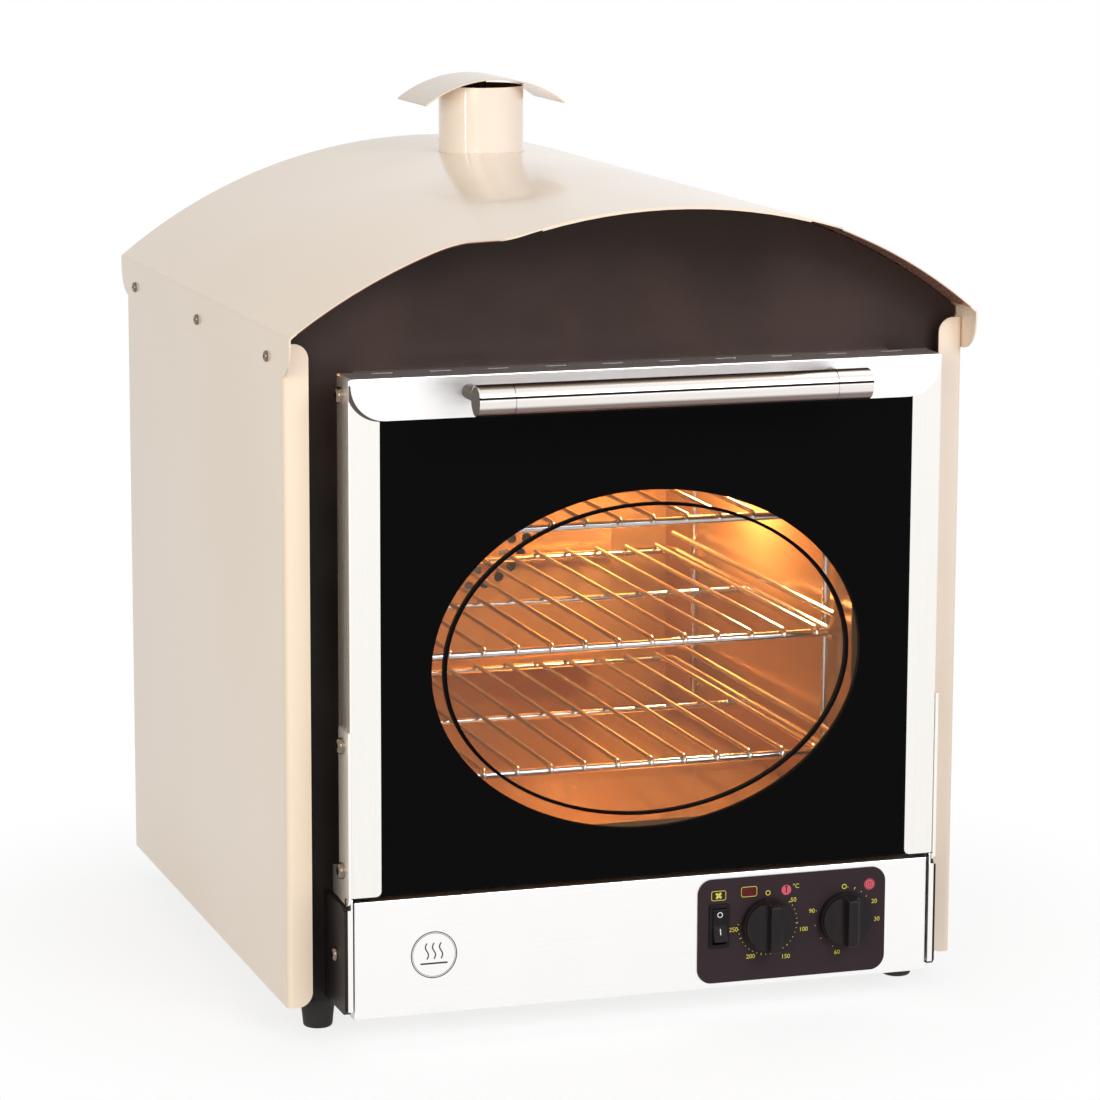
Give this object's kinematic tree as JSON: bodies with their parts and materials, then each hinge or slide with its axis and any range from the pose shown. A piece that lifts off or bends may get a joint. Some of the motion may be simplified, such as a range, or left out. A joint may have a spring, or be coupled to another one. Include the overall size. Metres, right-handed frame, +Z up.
{
  "type": "baked potato oven",
  "caption": "Counter-top baked potato oven with an arched roof, a chimney with a curved cap, a drop-down glass door with a tube handle, sliding wire shelves and two dials with a rocker switch.",
  "frame": {"origin": "on the table under the middle of the overall footprint, which reaches from the handle's front to the roof's back edge", "axes": "+Z up, +X to the right of somebody who faces the door, -Y out of the front"},
  "size_m": [0.515, 0.605, 0.6515],
  "materials": {
    "cream_enamel": "gloss enamel",
    "dark_enamel": "satin enamel",
    "stainless": "brushed",
    "handle_steel": "fine brushed",
    "oven_steel": "bright annealed",
    "zinc_steel": "zinc plated",
    "chrome_wire": "bright chrome",
    "fan_aluminium": "satin",
    "element_metal": "heat darkened",
    "dark_glass": "gloss with a screened black border",
    "clear_glass": "clear",
    "post_black": "satin",
    "black_plastic": "fine satin",
    "label_face": "semi-gloss film",
    "amber_lens": "clear gloss",
    "rubber": "matt",
    "lamp_ceramic": "matt",
    "mineral_wool": "fibrous"
  },
  "bodies": {
    "oven": {"roof_panel": "cream_enamel", "side_panel_left": "cream_enamel", "side_panel_right": "cream_enamel", "chimney_tube": "cream_enamel", "chimney_cap": "cream_enamel", "front_frame": "dark_enamel", "side_plates": "dark_enamel", "control_panel": "stainless", "hinge_supports": "stainless", "oven_collar": "stainless", "oven_liner": "oven_steel", "fan_guard": "oven_steel", "base_pan": "zinc_steel", "rear_panel": "zinc_steel", "oven_supports": "zinc_steel", "cap_bracket": "zinc_steel", "flue_duct": "zinc_steel", "casing_screws": "zinc_steel", "foot_screws": "zinc_steel", "thermostat_phial": "zinc_steel", "shelf_racks": "chrome_wire", "fan_motor": "fan_aluminium", "heating_element": "element_metal", "lamp_lens": "clear_glass", "switch_housing": "black_plastic", "cable_gland": "black_plastic", "control_bodies": "black_plastic", "door_magnets": "black_plastic", "control_label": "label_face", "heat_lens": "amber_lens", "feet": "rubber", "door_seal": "rubber", "lamp_holder": "lamp_ceramic", "terminal_block": "lamp_ceramic", "insulation_slabs": "mineral_wool"},
    "door": {"door_stiles": "stainless", "door_top_rail": "stainless", "outer_glass": "dark_glass", "inner_panel": "oven_steel", "inner_glass": "clear_glass", "glass_clips": "oven_steel", "glass_retainers": "oven_steel", "door_bottom_channel": "oven_steel", "handle_tube": "handle_steel", "handle_caps": "handle_steel", "handle_posts": "post_black", "handle_bolts": "zinc_steel", "hinge_brackets": "stainless", "hinge_pins": "zinc_steel", "door_screws": "zinc_steel"},
    "thermostat_dial": {"thermostat_knob": "black_plastic", "thermostat_shaft": "zinc_steel"},
    "timer_dial": {"timer_knob": "black_plastic", "timer_shaft": "zinc_steel"},
    "rocker": {"switch_rocker": "black_plastic"},
    "fan": {"fan_wheel": "fan_aluminium", "fan_shaft": "zinc_steel"},
    "shelf_low": {"shelf_bottom": "chrome_wire"},
    "shelf_mid": {"shelf_middle": "chrome_wire"},
    "shelf_high": {"shelf_top": "chrome_wire"}
  },
  "joints": [
    {"name": "door_hinge", "type": "hinge", "parent": "oven", "child": "door", "pos_m": [0, -0.23955, 0.109], "axis": [1, 0, 0], "range_deg": [0, 90]},
    {"name": "thermostat_turn", "type": "hinge", "parent": "oven", "child": "thermostat_dial", "pos_m": [0.092, -0.24305, 0.0681], "axis": [0, 1, 0], "range_deg": [0, 265]},
    {"name": "timer_turn", "type": "hinge", "parent": "oven", "child": "timer_dial", "pos_m": [0.1515, -0.24305, 0.0681], "axis": [0, 1, 0], "range_deg": [0, 285]},
    {"name": "switch_rock", "type": "hinge", "parent": "oven", "child": "rocker", "pos_m": [0.055, -0.23885, 0.0696], "axis": [1, 0, 0], "range_deg": [0, 16]},
    {"name": "fan_spin", "type": "hinge", "parent": "oven", "child": "fan", "pos_m": [0, 0.21515, 0.291], "axis": [0, 1, 0], "continuous": true},
    {"name": "shelf_low_slide", "type": "slide", "parent": "oven", "child": "shelf_low", "axis": [0, -1, 0], "range_m": [0, 0.024]},
    {"name": "shelf_mid_slide", "type": "slide", "parent": "oven", "child": "shelf_mid", "axis": [0, -1, 0], "range_m": [0, 0.024]},
    {"name": "shelf_high_slide", "type": "slide", "parent": "oven", "child": "shelf_high", "axis": [0, -1, 0], "range_m": [0, 0.024]}
  ]
}
